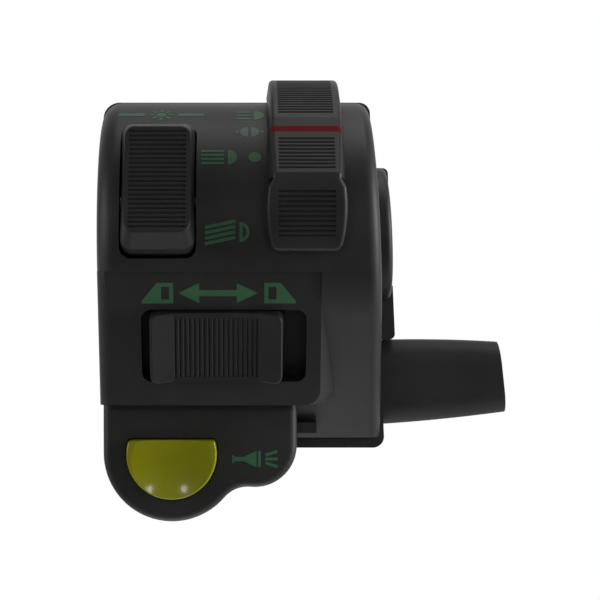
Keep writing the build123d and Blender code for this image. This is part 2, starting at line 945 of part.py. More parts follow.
def cable_boot():
    """The rubber sleeve that the harness leaves through, held in the wall by its groove."""
    start = side_x(-boot_root_drop, rear_right_lip) - overrun
    root = boot_section(start, boot_root_drop, boot_root_height, boot_root_depth, boot_corner_radius)
    middle_share = (boot_waist_x - start) / (boot_end_x - start)
    waist_drop = boot_root_drop + (boot_end_drop - boot_root_drop) * middle_share
    waist_depth = boot_root_depth + (boot_end_depth - boot_root_depth) * middle_share
    waist = boot_section(boot_waist_x, waist_drop, boot_waist_height, waist_depth, boot_corner_radius)
    end_plane = Plane(
        origin=(boot_end_x, boot_depth_centre, -boot_end_drop),
        x_dir=(0, 1, 0),
        z_dir=(cos(radians(boot_end_tilt)), 0, sin(radians(boot_end_tilt))),
    )
    end = end_plane.location * RectangleRounded(boot_end_depth, boot_end_height, boot_corner_radius)
    sleeve = loft([root, waist, end])
    sleeve -= width_block(0, rear_right_lip + boot_gap)
    neck_end = side_x(-boot_root_drop, rear_right_lip) + overrun
    neck = boot_prism(boot_neck_inset, start, neck_end)
    inner_face = rear_right_lip - wall - boot_gap
    flange = boot_prism(boot_flange_inset, start - overrun, neck_end) & width_block(0, inner_face)
    flange -= width_block(0, inner_face - boot_flange_thickness)
    neck -= width_block(0, inner_face - boot_flange_thickness)
    boot = sleeve + neck + flange
    hole = rod(Plane.YZ, boot_depth_centre, -boot_hole_drop, boot_hole_radius, 0, reach_everywhere)
    return boot - hole


def clamp_screws():
    """Two pan head screws, driven from behind."""
    screws = []
    for x, z in clamp_places():
        plane = facing(0)
        seat = -clamp_seat_depth
        shank = rod(plane, x, z, clamp_screw_radius, seat, clamp_screw_reach)
        head = rod(plane, x, z, clamp_head_radius, seat - clamp_head_height, seat)
        head = fillet(head.edges().sort_by(Axis.Y)[-1], clamp_head_height / 3)
        floor = seat - clamp_head_height + clamp_recess_depth
        span = around(0, clamp_head_radius - clamp_boss_wall)
        slot = around(0, clamp_recess_width / 2)
        for across, along in ((span, slot), (slot, span)):
            head -= Pos(x, 0, z) * block(plane, across, along, (seat - overrun, floor))
        screws.append(shank + head)
    return Compound(children=screws)


def threaded_inserts():
    """Two brass sleeves in the front shell's bosses."""
    sleeves = []
    for x, z in clamp_places():
        outer = rod(facing(0), x, z, insert_radius, insert_inset, insert_inset + insert_length)
        inner = rod(facing(0), x, z, clamp_screw_radius + fit_clearance, 0, reach_everywhere)
        sleeves.append(outer - inner)
    return Compound(children=sleeves)


def base_screws():
    """The small screws that hold the four contact bases."""
    screws = []
    groups = (
        (dimmer_pillars(), base_thickness),
        (selector_pillars(), selector_base_thickness),
        (turn_pillars(), turn_base_thickness),
        (horn_pillars(), horn_base_thickness),
    )
    for places, thickness in groups:
        for plane, x, along, tip in places:
            seat = tip - thickness
            shank = rod(plane, x, along, base_screw_radius, seat, tip + base_screw_bite)
            head = rod(plane, x, along, base_head_radius, seat - base_head_height, seat)
            screws.append(shank + head)
    return Compound(children=screws)


def screw_holes(places):
    """Clearance holes through a contact base."""
    holes = [
        rod(plane, x, along, base_screw_radius + fit_clearance, -barrel_radius / 2, barrel_radius)
        for plane, x, along, tip in places
    ]
    return holes


def rib_groove(angle, along, out, across):
    """A shallow V groove across a grip face."""
    corners = [
        side_point(angle, along - rib_width / 2, out),
        side_point(angle, along - rib_width / 2, out + rib_depth),
        side_point(angle, along + rib_width / 2, out + rib_depth),
        side_point(angle, along + rib_width / 2, out),
        side_point(angle, along, out - rib_depth),
    ]
    return along_bar([Polyline(*corners, close=True)], across[0], across[1])


def dimmer_rocker():
    """The ribbed rocker that picks the high or the low beam."""
    plane = facing(rocker_angle)
    foot = RectangleRounded(rocker_width, rocker_length, rocker_corner_radius)
    base = Pos(rocker_x, 0, rocker_base) * foot
    top_width = rocker_width - 2 * rocker_draft_x
    top_length = rocker_length - 2 * rocker_draft_along
    top = Pos(rocker_x, 0, rocker_face) * RectangleRounded(top_width, top_length, rocker_corner_radius)
    cap = plane.location * loft([base, top])
    rim = cap.faces().sort_by(Axis((0, 0, 0), plane.z_dir))[-1]
    cap = fillet(rim.edges(), rocker_edge_radius)
    low = rocker_base - rocker_skirt
    skirt = extrude(plane.location * base, amount=-rocker_skirt, dir=plane.z_dir)
    rocker = cap + skirt
    half = top_length / 2
    dish_radius = (half**2 + rocker_dish**2) / (2 * rocker_dish)
    dish_centre = side_point(rocker_angle, 0, rocker_face - rocker_dish + dish_radius)
    rocker -= rod(Plane.YZ, dish_centre[0], dish_centre[1], dish_radius, -reach_everywhere, 0)
    room = block(
        plane,
        around(rocker_x, rocker_width / 2 - rocker_wall),
        around(0, rocker_length / 2 - rocker_wall),
        (low - overrun, rocker_face - rocker_top_wall),
    )
    web = block(
        plane,
        around(rocker_x, rocker_width / 2),
        around(lever_along, rocker_web / 2),
        (low, rocker_face),
    )
    rocker -= room - web
    tip = lever_out - lever_length
    rocker += rod(plane, rocker_x, lever_along, lever_radius, tip, low + wall)
    bore_end = lever_out - plunger_reach + plunger_length + dimmer_spring_length + 2 * spring_gap
    rocker -= rod(plane, rocker_x, lever_along, plunger_radius + fit_clearance, tip - overrun, bore_end)
    pivot = side_point(rocker_mid_angle, 0, pivot_out)
    rocker -= rod(Plane.YZ, pivot[0], pivot[1], pivot_radius + fit_clearance, -reach_everywhere, 0)
    across = around(rocker_x, top_width / 2 - rocker_rib_margin)
    count = int((top_length - 2 * rocker_rib_margin) / rib_pitch)
    grooves = []
    for step in range(count + 1):
        along = (step - count / 2) * rib_pitch
        face = rocker_face - rocker_dish * (1 - (along / half) ** 2)
        grooves.append(rib_groove(rocker_angle, along, face, across))
    return rocker - grooves


def dimmer_pin():
    """The steel pin that the rocker swings on."""
    low, high = lug_spans()
    pivot = side_point(rocker_mid_angle, 0, pivot_out)
    return rod(Plane.YZ, pivot[0], pivot[1], pivot_radius, low[0] + fit_clearance, high[1])


def coil(plane, x, along, low, high, radius, wire, turns):
    """A round wire spring that stands on a plane."""
    height = high - low - 2 * wire
    path = Helix(height / turns, height, radius)
    start = Plane(origin=path @ 0, z_dir=path % 0)
    spring = sweep(start.location * Circle(wire), path=path, is_frenet=True)
    return plane.location * Pos(x, along, low + wire) * spring


def dimmer_plunger():
    """The sprung pin in the rocker's lever that tips the contact blade."""
    plane = facing(rocker_angle)
    tip = lever_out - plunger_reach
    pin = rod(plane, rocker_x, lever_along, plunger_radius, tip, tip + plunger_length)
    end = pin.edges().sort_by(Axis((0, 0, 0), plane.z_dir))[0]
    return fillet(end, plunger_tip_radius)


def dimmer_spring():
    """The spring behind the plunger."""
    low = lever_out - plunger_reach + plunger_length + spring_gap
    wire = plunger_radius / 6
    radius = plunger_radius - wire - spring_gap / 2
    turns = 2
    return coil(
        facing(rocker_angle), rocker_x, lever_along, low, low + dimmer_spring_length, radius, wire, turns
    )


def dimmer_blade():
    """The brass see-saw that joins the feed to one beam or the other."""
    frame = facing(rocker_mid_angle)
    tilted = facing(rocker_mid_angle - blade_tilt)
    origin = frame.location * Pos(0, 0, blade_out)
    plane = Plane(origin=origin.position, x_dir=(1, 0, 0), z_dir=tilted.z_dir)
    across = around(rocker_x, blade_width / 2)
    blade = block(plane, across, around(0, blade_length / 2), (0, blade_thickness))
    for side in (-1, 1):
        blade += rod(plane, rocker_x, side * rivet_along, rivet_radius, -rivet_height, blade_thickness / 2)
    return blade


def contact_tab(plane, x, along, pad, face, height, tip, grow):
    """A contact pad with its tail, or with grow above zero only the slot for the tail."""
    tail = block(
        plane,
        around(x, tab_width / 2 + grow),
        around(along, tab_thickness / 2 + grow),
        (tip - grow, face + height / 2 + grow),
    )
    if grow:
        return tail
    return tail + block(plane, around(x, pad[0] / 2), around(along, pad[1] / 2), (face, face + height))


def dimmer_tabs(grow):
    """The dimmer's two beam contacts."""
    plane = facing(rocker_mid_angle)
    tip = dimmer_base_out - base_thickness - dimmer_tail
    return [
        contact_tab(
            plane,
            rocker_x,
            side * rivet_along,
            (pad_length, pad_length),
            dimmer_base_out,
            pad_height,
            tip,
            grow,
        )
        for side in (-1, 1)
    ]


def dimmer_base():
    """The laminate plate under the dimmer, with the ridge that its blade rocks on."""
    plane = facing(rocker_mid_angle)
    across = (dimmer_base_left, dimmer_base_right)
    out = (dimmer_base_out - base_thickness, dimmer_base_out)
    base = block(plane, across, around(0, dimmer_base_half), out)
    base += block(
        plane,
        around(rocker_x, blade_width / 2),
        around(0, ridge_width / 2),
        (dimmer_base_out - base_thickness, dimmer_base_out + ridge_height),
    )
    return base - screw_holes(dimmer_pillars()) - dimmer_tabs(fit_clearance)


def dimmer_terminals():
    return Compound(children=dimmer_tabs(0))


def knob_points():
    """The corners of the selector knob's side view, from its toe round to its back."""
    return (
        ring_point(barrel_radius + knob_toe_height, knob_toe_angle + 1),
        ring_point(barrel_radius + knob_belly_height, knob_belly_angle),
        ring_point(barrel_radius + knob_crest_height, knob_crest_angle),
        ring_point(barrel_radius + knob_shoulder_height, knob_shoulder_angle),
        ring_point(barrel_radius + knob_back_height, knob_back_angle),
    )


def near_edges(edges, places, reach):
    """The edges whose middles stand within reach of a (y, z) place in the side view."""
    return [
        edge
        for edge in edges
        if min(hypot(edge.center().Y - y, edge.center().Z - z) for y, z in places) < reach
    ]


def knob_pad(top):
    """Front view of the thumb pad below the knob's crest, with bowed sides."""
    toe, belly = knob_points()[:2]
    foot = toe[1] - wall
    brow = top - knob_brow_drop
    outline = [
        Line((-knob_brow_half, top), (knob_brow_half, top)),
        Line((-knob_foot_half, foot), (knob_foot_half, foot)),
    ]
    for side in (1, -1):
        corner = (side * knob_pad_half, brow)
        bow = (side * knob_bow_half, (brow + belly[1]) / 2)
        outline.append(Line((side * knob_brow_half, top), corner))
        outline.append(ThreePointArc(corner, bow, (side * knob_foot_half, foot)))
    return toward_rider(Pos(knob_x, 0) * face_of(outline), -reach_everywhere, 0)


def long_edges(body, places):
    """The edges that run along the bar through some (y, z) places in the side view."""
    edges = [edge for edge in body.edges() if edge.bounding_box().size.X > knob_width / 2]
    return near_edges(edges, places, wall / 4)


def knob_rims(body):
    """The edges between the knob's outer face and its side walls."""
    rims = []
    for edge in body.edges():
        size = edge.bounding_box().size
        height = hypot(edge.center().Y, edge.center().Z)
        if size.X < knob_width / 4 and size.Z > fit_clearance and height > knob_inner + knob_end_radius:
            rims.append(edge)
    return rims


def knob_form():
    """The selector knob's outside, before its ribs are cut."""
    toe, belly, crest, shoulder, back = knob_points()
    middle = (knob_shoulder_angle + knob_back_angle) / 2
    middle_height = (knob_shoulder_height + knob_back_height) / 2
    inner_toe = ring_point(knob_inner, knob_toe_angle)
    inner_back = ring_point(knob_inner, knob_back_angle + 1)
    outline = [
        Line(inner_toe, toe),
        ThreePointArc(toe, belly, crest),
        Line(crest, shoulder),
        ThreePointArc(shoulder, ring_point(barrel_radius + middle_height, middle), back),
        Line(back, inner_back),
        ring_arc(knob_inner, knob_toe_angle, knob_back_angle + 1),
    ]
    body = along_bar(outline, knob_x - knob_width, knob_x + knob_width)
    body = fillet(long_edges(body, (back,)), knob_end_radius)
    half = knob_width / 2
    corners = [
        (knob_x - half, knob_inner - wall),
        (knob_x - half, knob_inner),
        (knob_x - half + knob_side_draft, barrel_radius + knob_top),
        (knob_x + half - knob_side_draft, barrel_radius + knob_top),
        (knob_x + half, knob_inner),
        (knob_x + half, knob_inner - wall),
    ]
    ring = revolve(Plane.XZ.location * face_of([Polyline(*corners, close=True)]), Axis.X, 360)
    cut = crest[1] - knob_edge_radius
    everywhere = around(0, reach_everywhere)
    upper = body & ring & block(facing(0), everywhere, (cut, reach_everywhere), everywhere)
    upper = fillet(knob_rims(upper) + long_edges(upper, (crest,)), knob_edge_radius)
    lower = body & knob_pad(cut)
    toe_middle = ((toe[0] + inner_toe[0]) / 2, (toe[1] + inner_toe[1]) / 2)
    toe_sides = near_edges(lower.edges(), (toe_middle,), wall / 4)
    toe_sides = [edge for edge in toe_sides if edge.bounding_box().size.X < wall]
    lower = fillet(toe_sides, knob_toe_radius)
    lower = fillet(knob_rims(lower) + long_edges(lower, (toe,)), knob_edge_radius)
    return upper + lower


def index_block(grow):
    """The room that the index line takes in the knob's upper facet."""
    crest, shoulder = knob_points()[2:4]
    angle = degrees(atan2(shoulder[0] - crest[0], shoulder[1] - crest[1]))
    turn = radians(angle)
    out = crest[1] * sin(turn) - crest[0] * cos(turn)
    start = crest[0] * sin(turn) + crest[1] * cos(turn)
    length = hypot(shoulder[0] - crest[0], shoulder[1] - crest[1])
    along = start + index_share * length
    return block(
        facing(angle),
        around(knob_x, knob_width),
        around(along, index_width / 2 + grow),
        (out - index_depth - grow, out + overrun),
    )


def knob_ribs():
    """The grip grooves on the knob's back, upper facet and belly."""
    toe, belly, crest, shoulder, back = knob_points()
    across = around(knob_x, knob_width / 2 - knob_rib_margin - knob_side_draft / 2)
    grooves = []
    count = int((back_ribs[1] - back_ribs[0]) / back_rib_step)
    for step in range(count + 1):
        angle = back_ribs[0] + step * back_rib_step
        share = (angle - knob_shoulder_angle) / (knob_back_angle - knob_shoulder_angle)
        height = knob_shoulder_height + share * (knob_back_height - knob_shoulder_height)
        grooves.append(rib_groove(angle, 0, barrel_radius + height, across))
    for first, last, shares, through in (
        (crest, shoulder, facet_rib_share, None),
        (toe, crest, belly_rib_share, belly),
    ):
        angle = degrees(atan2(last[0] - first[0], last[1] - first[1]))
        turn = radians(angle)
        length = hypot(last[0] - first[0], last[1] - first[1])
        out = first[1] * sin(turn) - first[0] * cos(turn)
        start = first[0] * sin(turn) + first[1] * cos(turn)
        bulge = 0
        if through:
            bulge = through[1] * sin(turn) - through[0] * cos(turn) - out
        rib_count = int((shares[1] - shares[0]) * length / rib_pitch)
        for step in range(rib_count + 1):
            share = shares[0] + step * rib_pitch / length
            rise = bulge * (1 - (2 * share - 1) ** 2)
            grooves.append(rib_groove(angle, start + share * length, out + rise, across))
    return grooves


def lights_knob():
    """The selector knob that rides over the barrel, with the stem that passes into it."""
    stem = ring_block(
        carrier_outer - stem_depth,
        knob_inner + wall,
        around(selector_mid_angle, stem_half_angle),
        around(knob_x, stem_width / 2),
    )
    return knob_form() - knob_ribs() - index_block(0) + stem


def lights_index_line():
    """The red line let into the knob, flush with its face."""
    return knob_form() & index_block(0)


def lights_carrier():
    """The block inside the shell that the knob's stem drives."""
    body = ring_block(
        carrier_inner,
        carrier_outer,
        around(selector_mid_angle, carrier_half_angle),
        (carrier_left, carrier_right),
    )
    body -= ring_block(
        carrier_outer - stem_depth - spring_gap,
        barrel_radius,
        around(selector_mid_angle, stem_half_angle + carrier_socket_angle_gap),
        around(knob_x, stem_width / 2 + fit_clearance),
    )
    ball_out = carrier_outer + carrier_gap / 2 - ball_radius
    low = ball_out - detent_spring_length - spring_gap
    return body - rod(
        facing(selector_mid_angle), detent_x, 0, ball_radius + ball_clearance, low, barrel_radius
    )


def lights_contact():
    """The brass bridge under the selector's carrier."""
    return ring_block(
        contact_inner,
        carrier_inner,
        around(selector_mid_angle, selector_contact_half_angle),
        around(knob_x, selector_contact_width / 2),
    )


def lights_detent_ball():
    ball_out = carrier_outer + carrier_gap / 2 - ball_radius
    return Pos(detent_x, *ring_point(ball_out, selector_mid_angle)) * Sphere(ball_radius)


def detent_spring(plane, x, along, ball_out, length):
    """The spring under a detent ball, from the floor of its bore up to the ball."""
    wire = ball_radius * detent_wire_share
    radius = ball_radius - wire - spring_gap / 2
    high = ball_out - sqrt((ball_radius + wire) ** 2 - radius**2) + wire - spring_gap / 2
    return coil(plane, x, along, ball_out - length, high, radius, wire, detent_spring_turns)


def lights_detent_spring():
    ball_out = carrier_outer + carrier_gap / 2 - ball_radius
    return detent_spring(facing(selector_mid_angle), detent_x, 0, ball_out, detent_spring_length)


def selector_strips(grow):
    """The selector's curved contact strips with their tails."""
    strips = []
    for step in range(strip_count):
        x = knob_x + (step - (strip_count - 1) / 2) * strip_pitch
        tail = ring_block(
            selector_base_inner - selector_tail - grow,
            selector_base_outer + strip_thickness / 2 + grow,
            (selector_tail_angle - grow, strip_angles[1] + grow),
            around(x, strip_width / 2 + grow),
        )
        if grow:
            strips.append(tail)
        else:
            strip = ring_block(selector_base_outer, strip_outer, strip_angles, around(x, strip_width / 2))
            strips.append(strip + tail)
    return strips


def lights_base():
    """The curved laminate base under the selector."""
    base = ring_block(
        selector_base_inner,
        selector_base_outer,
        selector_base_angles,
        (selector_base_left, selector_base_right),
    )
    for plane, x, along, tip in selector_pillars():
        seat = tip - selector_base_thickness
        base -= rod(plane, x, along, base_head_radius + fit_clearance, 0, seat)
    return base - screw_holes(selector_pillars()) - selector_strips(fit_clearance)


def lights_terminals():
    return Compound(children=selector_strips(0))


def slider_outline():
    """Top view of the turn slider: a crest at each end and a dished grip between, as (x, out)."""
    half = slider_width / 2
    crest = half - slider_crest_inset
    valley = half - slider_facet
    low = pod_reach - pocket_depth + slider_floor_gap
    high = pod_reach + slider_crest
    grip = pod_reach + slider_valley
    return [
        Line((slider_x - half, low), (slider_x + half, low)),
        Line((slider_x + half, low), (slider_x + crest, high)),
        Line((slider_x + crest, high), (slider_x + valley, grip)),
        ThreePointArc(
            (slider_x + valley, grip),
            (slider_x, grip - slider_dish),
            (slider_x - valley, grip),
        ),
        Line((slider_x - valley, grip), (slider_x - crest, high)),
        Line((slider_x - crest, high), (slider_x - half, low)),
    ]


def turn_slider():
    """The slider that the thumb pushes left or right, with its stem."""
    tilted = facing(-pod_tilt)
    height = slot_height - 2 * slider_gap
    along_dir = tilted.y_dir
    across = Plane(origin=(0, 0, 0), x_dir=(1, 0, 0), z_dir=-along_dir)
    face = across.location * face_of(slider_outline())
    body = extrude(face, amount=height / 2, both=True)
    body = Pos(*(along_dir * slot_along)) * body
    inset = slider_width / 2 - slider_crest_inset
    ends = [edge for edge in body.edges() if inset < abs(edge.center().X - slider_x)]
    corners = [edge for edge in ends if edge.length < height / 2 + wall]
    body = fillet(corners, slider_corner_radius)
    crests = [
        edge
        for edge in body.edges()
        if edge.length > height / 2 and abs(abs(edge.center().X - slider_x) - inset) < slider_edge_radius
    ]
    body = fillet(crests, slider_edge_radius)
    grooves = []
    valley = slider_width / 2 - slider_facet
    count = int((2 * valley - rib_width) / turn_rib_pitch)
    for step in range(count + 1):
        offset = (step - count / 2) * turn_rib_pitch
        out = pod_reach + slider_valley - slider_dish * (1 - (offset / valley) ** 2)
        corners = [
            (slider_x + offset - rib_width / 2, out),
            (slider_x + offset - rib_width / 2, out + rib_depth),
            (slider_x + offset + rib_width / 2, out + rib_depth),
            (slider_x + offset + rib_width / 2, out),
            (slider_x + offset, out - rib_depth),
        ]
        groove = across.location * face_of([Polyline(*corners, close=True)])
        groove = extrude(groove, amount=height / 2 - turn_rib_margin, both=True)
        grooves.append(Pos(*(along_dir * slot_along)) * groove)
    stem = block(
        tilted,
        around(slider_x, turn_stem_width / 2),
        around(slot_along, turn_stem_height / 2),
        (pod_reach - pocket_depth - turn_stem_depth, pod_reach - pocket_depth + wall),
    )
    return body - grooves + stem


def turn_carrier():
    """The block under the slider's pocket that the stem drives."""
    tilted = facing(-pod_tilt)
    body = block(
        tilted,
        around(slider_x, turn_carrier_half),
        around(slot_along, turn_carrier_half_height),
        (turn_carrier_in, turn_carrier_out),
    )
    body -= block(
        tilted,
        around(slider_x, turn_stem_width / 2 + fit_clearance),
        around(slot_along, turn_stem_height / 2 + fit_clearance),
        (pod_reach - pocket_depth - turn_stem_depth - spring_gap, barrel_radius),
    )
    return body - rod(
        tilted,
        slider_x + turn_ball_x,
        slot_along + turn_ball_along,
        ball_radius + ball_clearance,
        turn_ball_out() - turn_spring_length - spring_gap,
        barrel_radius,
    )


def turn_ball_out():
    """How far out from the bar the slider's detent ball is centred."""
    return turn_carrier_out + turn_carrier_gap / 2 - ball_radius


def turn_detent_ball():
    along = slot_along + turn_ball_along
    place = side_point(-pod_tilt, along, turn_ball_out())
    return Pos(slider_x + turn_ball_x, *place) * Sphere(ball_radius)


def turn_detent_spring():
    along = slot_along + turn_ball_along
    x = slider_x + turn_ball_x
    return detent_spring(facing(-pod_tilt), x, along, turn_ball_out(), turn_spring_length)


def turn_contact():
    """The brass bridge under the slider's carrier."""
    return block(
        facing(-pod_tilt),
        around(slider_x, turn_contact_half),
        around(slot_along, turn_contact_half),
        (turn_contact_in, turn_carrier_in),
    )


def turn_tabs(grow):
    """The three turn signal contacts."""
    tip = turn_base_in - turn_tail
    return [
        contact_tab(
            facing(-pod_tilt),
            slider_x + slider_travel / 2 + offset,
            slot_along,
            (pad_length, 2 * pad_length),
            turn_base_out,
            pad_height,
            tip,
            grow,
        )
        for offset in turn_tab_offsets
    ]


def turn_base():
    """The laminate plate under the turn slider."""
    base = block(
        facing(-pod_tilt),
        around(slot_x, turn_base_half),
        around(slot_along, turn_base_half_height),
        (turn_base_in, turn_base_out),
    )
    saddle_room = rod(Plane.YZ, 0, 0, bore_radius + saddle_wall + slot_side_gap, *middle_saddle)
    return base - saddle_room - screw_holes(turn_pillars()) - turn_tabs(fit_clearance)


def turn_terminals():
    return Compound(children=turn_tabs(0))


def horn_button():
    """The yellow push button with its dished face, its flange and its contact post."""
    plane = facing(0)
    face = plate_reach + horn_proud
    body = horn_prism(0, flange_in, face)
    body += horn_prism(horn_flange_width, flange_in, flange_out)
    rim = [edge for edge in body.edges() if edge.center().Y < horn_edge_radius - face]
    body = fillet(rim, horn_edge_radius)
    dish_half = horn_radius - wall / 2
    dish_radius = (dish_half**2 + horn_dish**2) / (2 * horn_dish)
    centre = Pos(horn_x, -(face - horn_dish + dish_radius), -horn_drop - horn_flat / 2)
    body -= centre * Sphere(dish_radius)
    stem_tip = flange_in - horn_stem_length
    return body + rod(plane, horn_x, -horn_drop, horn_stem_radius, stem_tip, flange_in + wall / 2)


def horn_contact():
    """The brass disc on the end of the horn button's post."""
    face = horn_contact_in + horn_contact_thickness
    return rod(facing(0), horn_x, -horn_drop, horn_contact_radius, horn_contact_in, face)


def horn_spring():
    """The return spring between the horn button and its base."""
    return coil(
        facing(0),
        horn_x,
        -horn_drop,
        horn_base_out + spring_gap,
        flange_in - spring_gap,
        horn_spring_radius,
        horn_spring_wire,
        horn_spring_turns,
    )


def horn_tabs(grow):
    """The horn's two fixed contacts, one of them under the button's post."""
    tip = horn_base_in - horn_tail
    return [
        contact_tab(
            facing(0),
            horn_x + offset,
            -horn_drop,
            (pad_length, pad_length),
            horn_base_out,
            horn_pad_height,
            tip,
            grow,
        )
        for offset in (0, horn_tab_offset + pad_length / 2)
    ]


def horn_base():
    """The laminate plate behind the horn button."""
    upper = Pos(0, horn_base_top / 2) * Rectangle(2 * horn_base_half, horn_base_top)
    shape = Circle(horn_base_radius) + upper
    base = toward_rider(Pos(horn_x, -horn_drop) * shape, -horn_base_out, -horn_base_in)
    return base - screw_holes(horn_pillars()) - horn_tabs(fit_clearance)


def horn_terminals():
    return Compound(children=horn_tabs(0))


nodes = {
    "front_shell": front_shell,
    "rear_shell": rear_shell,
    "cable_boot": cable_boot,
    "clamp_screws": clamp_screws,
    "threaded_inserts": threaded_inserts,
    "base_screws": base_screws,
    "dimmer_rocker": dimmer_rocker,
    "dimmer_pin": dimmer_pin,
    "dimmer_plunger": dimmer_plunger,
    "dimmer_spring": dimmer_spring,
    "dimmer_blade": dimmer_blade,
    "dimmer_base": dimmer_base,
    "dimmer_terminals": dimmer_terminals,
    "lights_knob": lights_knob,
    "lights_index_line": lights_index_line,
    "lights_carrier": lights_carrier,
    "lights_contact": lights_contact,
    "lights_detent_ball": lights_detent_ball,
    "lights_detent_spring": lights_detent_spring,
    "lights_base": lights_base,
    "lights_terminals": lights_terminals,
    "turn_slider": turn_slider,
    "turn_carrier": turn_carrier,
    "turn_contact": turn_contact,
    "turn_detent_ball": turn_detent_ball,
    "turn_detent_spring": turn_detent_spring,
    "turn_base": turn_base,
    "turn_terminals": turn_terminals,
    "horn_button": horn_button,
    "horn_contact": horn_contact,
    "horn_spring": horn_spring,
    "horn_base": horn_base,
    "horn_terminals": horn_terminals,
}

os.makedirs("parts", exist_ok=True)
for name, make in nodes.items():
    export_step(make(), f"parts/{name}.step")
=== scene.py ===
import bmesh
import bpy
import json
from math import cos, pi, radians, sin
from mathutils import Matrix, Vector


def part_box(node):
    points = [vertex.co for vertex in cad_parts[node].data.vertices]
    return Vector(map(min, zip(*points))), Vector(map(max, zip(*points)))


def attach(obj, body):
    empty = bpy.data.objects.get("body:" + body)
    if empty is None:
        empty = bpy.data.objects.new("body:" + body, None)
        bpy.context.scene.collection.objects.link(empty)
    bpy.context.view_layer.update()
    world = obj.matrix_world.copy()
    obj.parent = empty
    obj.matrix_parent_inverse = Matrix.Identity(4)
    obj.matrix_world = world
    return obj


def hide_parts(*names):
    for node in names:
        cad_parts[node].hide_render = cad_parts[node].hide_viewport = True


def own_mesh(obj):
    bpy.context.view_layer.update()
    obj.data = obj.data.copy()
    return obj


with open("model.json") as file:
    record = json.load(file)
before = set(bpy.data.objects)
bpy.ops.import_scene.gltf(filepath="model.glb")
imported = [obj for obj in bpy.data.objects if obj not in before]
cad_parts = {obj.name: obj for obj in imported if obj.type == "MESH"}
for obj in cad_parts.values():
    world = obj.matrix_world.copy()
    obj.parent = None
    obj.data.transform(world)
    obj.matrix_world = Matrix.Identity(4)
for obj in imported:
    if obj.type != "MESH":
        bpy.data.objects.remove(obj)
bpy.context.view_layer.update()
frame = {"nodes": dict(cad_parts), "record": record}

# Handlebar switch cluster, in metres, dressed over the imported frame. The handlebar runs along X,
# the rider looks at the -Y side, and Z is up.
nodes = frame["nodes"]
behaviour = frame["record"]["behaviour"]
body_of_node = {node: body for body, members in behaviour["bodies"].items() for node in members}
slot_of_node = {part["node"]: part["material_slot"] for part in frame["record"]["subparts"]}
mm = 0.001


def deselect_all():
    """Leaves nothing selected, because operators act on all that is."""
    for thing in bpy.context.selected_objects:
        thing.select_set(False)


def make_active(thing):
    """Selects one thing alone, for the next operator."""
    deselect_all()
    thing.select_set(True)
    bpy.context.view_layer.objects.active = thing


# Helpers for shader nodes
class Wiring:
    """A short way to add nodes and link them in one node tree."""

    def __init__(self, tree):
        self.tree = tree

    def add(self, kind, **settings):
        node = self.tree.nodes.new(kind)
        for name, value in settings.items():
            setattr(node, name, value)
        return node

    def link(self, source, target):
        self.tree.links.new(source, target)

    def feed(self, value, target):
        """Links another node's output, or sets a plain value."""
        if hasattr(value, "is_output"):
            self.link(value, target)
        else:
            target.default_value = value

    def math(self, operation, first, second, clamp=False):
        node = self.add("ShaderNodeMath", operation=operation, use_clamp=clamp)
        self.feed(first, node.inputs[0])
        self.feed(second, node.inputs[1])
        return node.outputs[0]

    def ramp(self, source, low, high):
        """Zero at low, one at high, and a straight line between."""
        node = self.add("ShaderNodeMapRange")
        self.link(source, node.inputs["Value"])
        node.inputs["From Min"].default_value = low
        node.inputs["From Max"].default_value = high
        return node.outputs["Result"]

    def mix(self, share, first, second):
        """A colour between two others."""
        node = self.add("ShaderNodeMix", data_type="RGBA")
        sockets = {socket.name: socket for socket in node.inputs if socket.enabled}
        self.link(share, sockets["Factor"])
        sockets["A"].default_value = (*first, 1)
        sockets["B"].default_value = (*second, 1)
        return [socket for socket in node.outputs if socket.enabled][-1]

    def noise(self, where, scale, detail, roughness=0.5):
        node = self.add("ShaderNodeTexNoise")
        self.link(where, node.inputs["Vector"])
        self.feed(scale, node.inputs["Scale"])
        node.inputs["Detail"].default_value = detail
        node.inputs["Roughness"].default_value = roughness
        return node.outputs["Fac"]


def new_group(name, inputs, outputs):
    """An empty shader group with named inputs and outputs."""
    group = bpy.data.node_groups.new(name, "ShaderNodeTree")
    for side, sockets in (("INPUT", inputs), ("OUTPUT", outputs)):
        for label, kind in sockets.items():
            group.interface.new_socket(label, in_out=side, socket_type=kind)
    return group


def build_moulding_group():
    """Fine grain with soft mottling. The mottling and the grain also vary the roughness."""
    grain_relief = 0.00006
    mottle_scale = 90
    mottle_roughness = 0.6
    detail = 3
    middle = 0.5
    mottle_share = 0.16
    grain_share = 0.12
    number = "NodeSocketFloat"
    group = new_group(
        "moulded_surface",
        inputs={"Grain Size": number, "Grain Depth": number, "Base Roughness": number},
        outputs={"Mottle": number, "Roughness": number, "Normal": "NodeSocketVector"},
    )
    wiring = Wiring(group)
    given = wiring.add("NodeGroupInput").outputs
    result = wiring.add("NodeGroupOutput").inputs
    where = wiring.add("ShaderNodeTexCoord").outputs["Object"]
    grain = wiring.noise(where, given["Grain Size"], detail)
    mottle = wiring.noise(where, mottle_scale, detail, mottle_roughness)
    bump = wiring.add("ShaderNodeBump")
    bump.inputs["Distance"].default_value = grain_relief
    wiring.link(given["Grain Depth"], bump.inputs["Strength"])
    wiring.link(grain, bump.inputs["Height"])
    spread = wiring.math("MULTIPLY", wiring.math("SUBTRACT", mottle, middle), mottle_share)
    speck = wiring.math("MULTIPLY", wiring.math("SUBTRACT", grain, middle), grain_share)
    drift = wiring.math("ADD", spread, speck)
    rough = wiring.math("ADD", drift, given["Base Roughness"], clamp=True)
    wiring.link(rough, result["Roughness"])
    wiring.link(mottle, result["Mottle"])
    wiring.link(bump.outputs["Normal"], result["Normal"])
    return group


# Finishes. A grain size is the number of grains in a metre.
moulding_group = build_moulding_group()
mottle_low = 0.35
mottle_high = 0.65
coat_roughness = 0.12


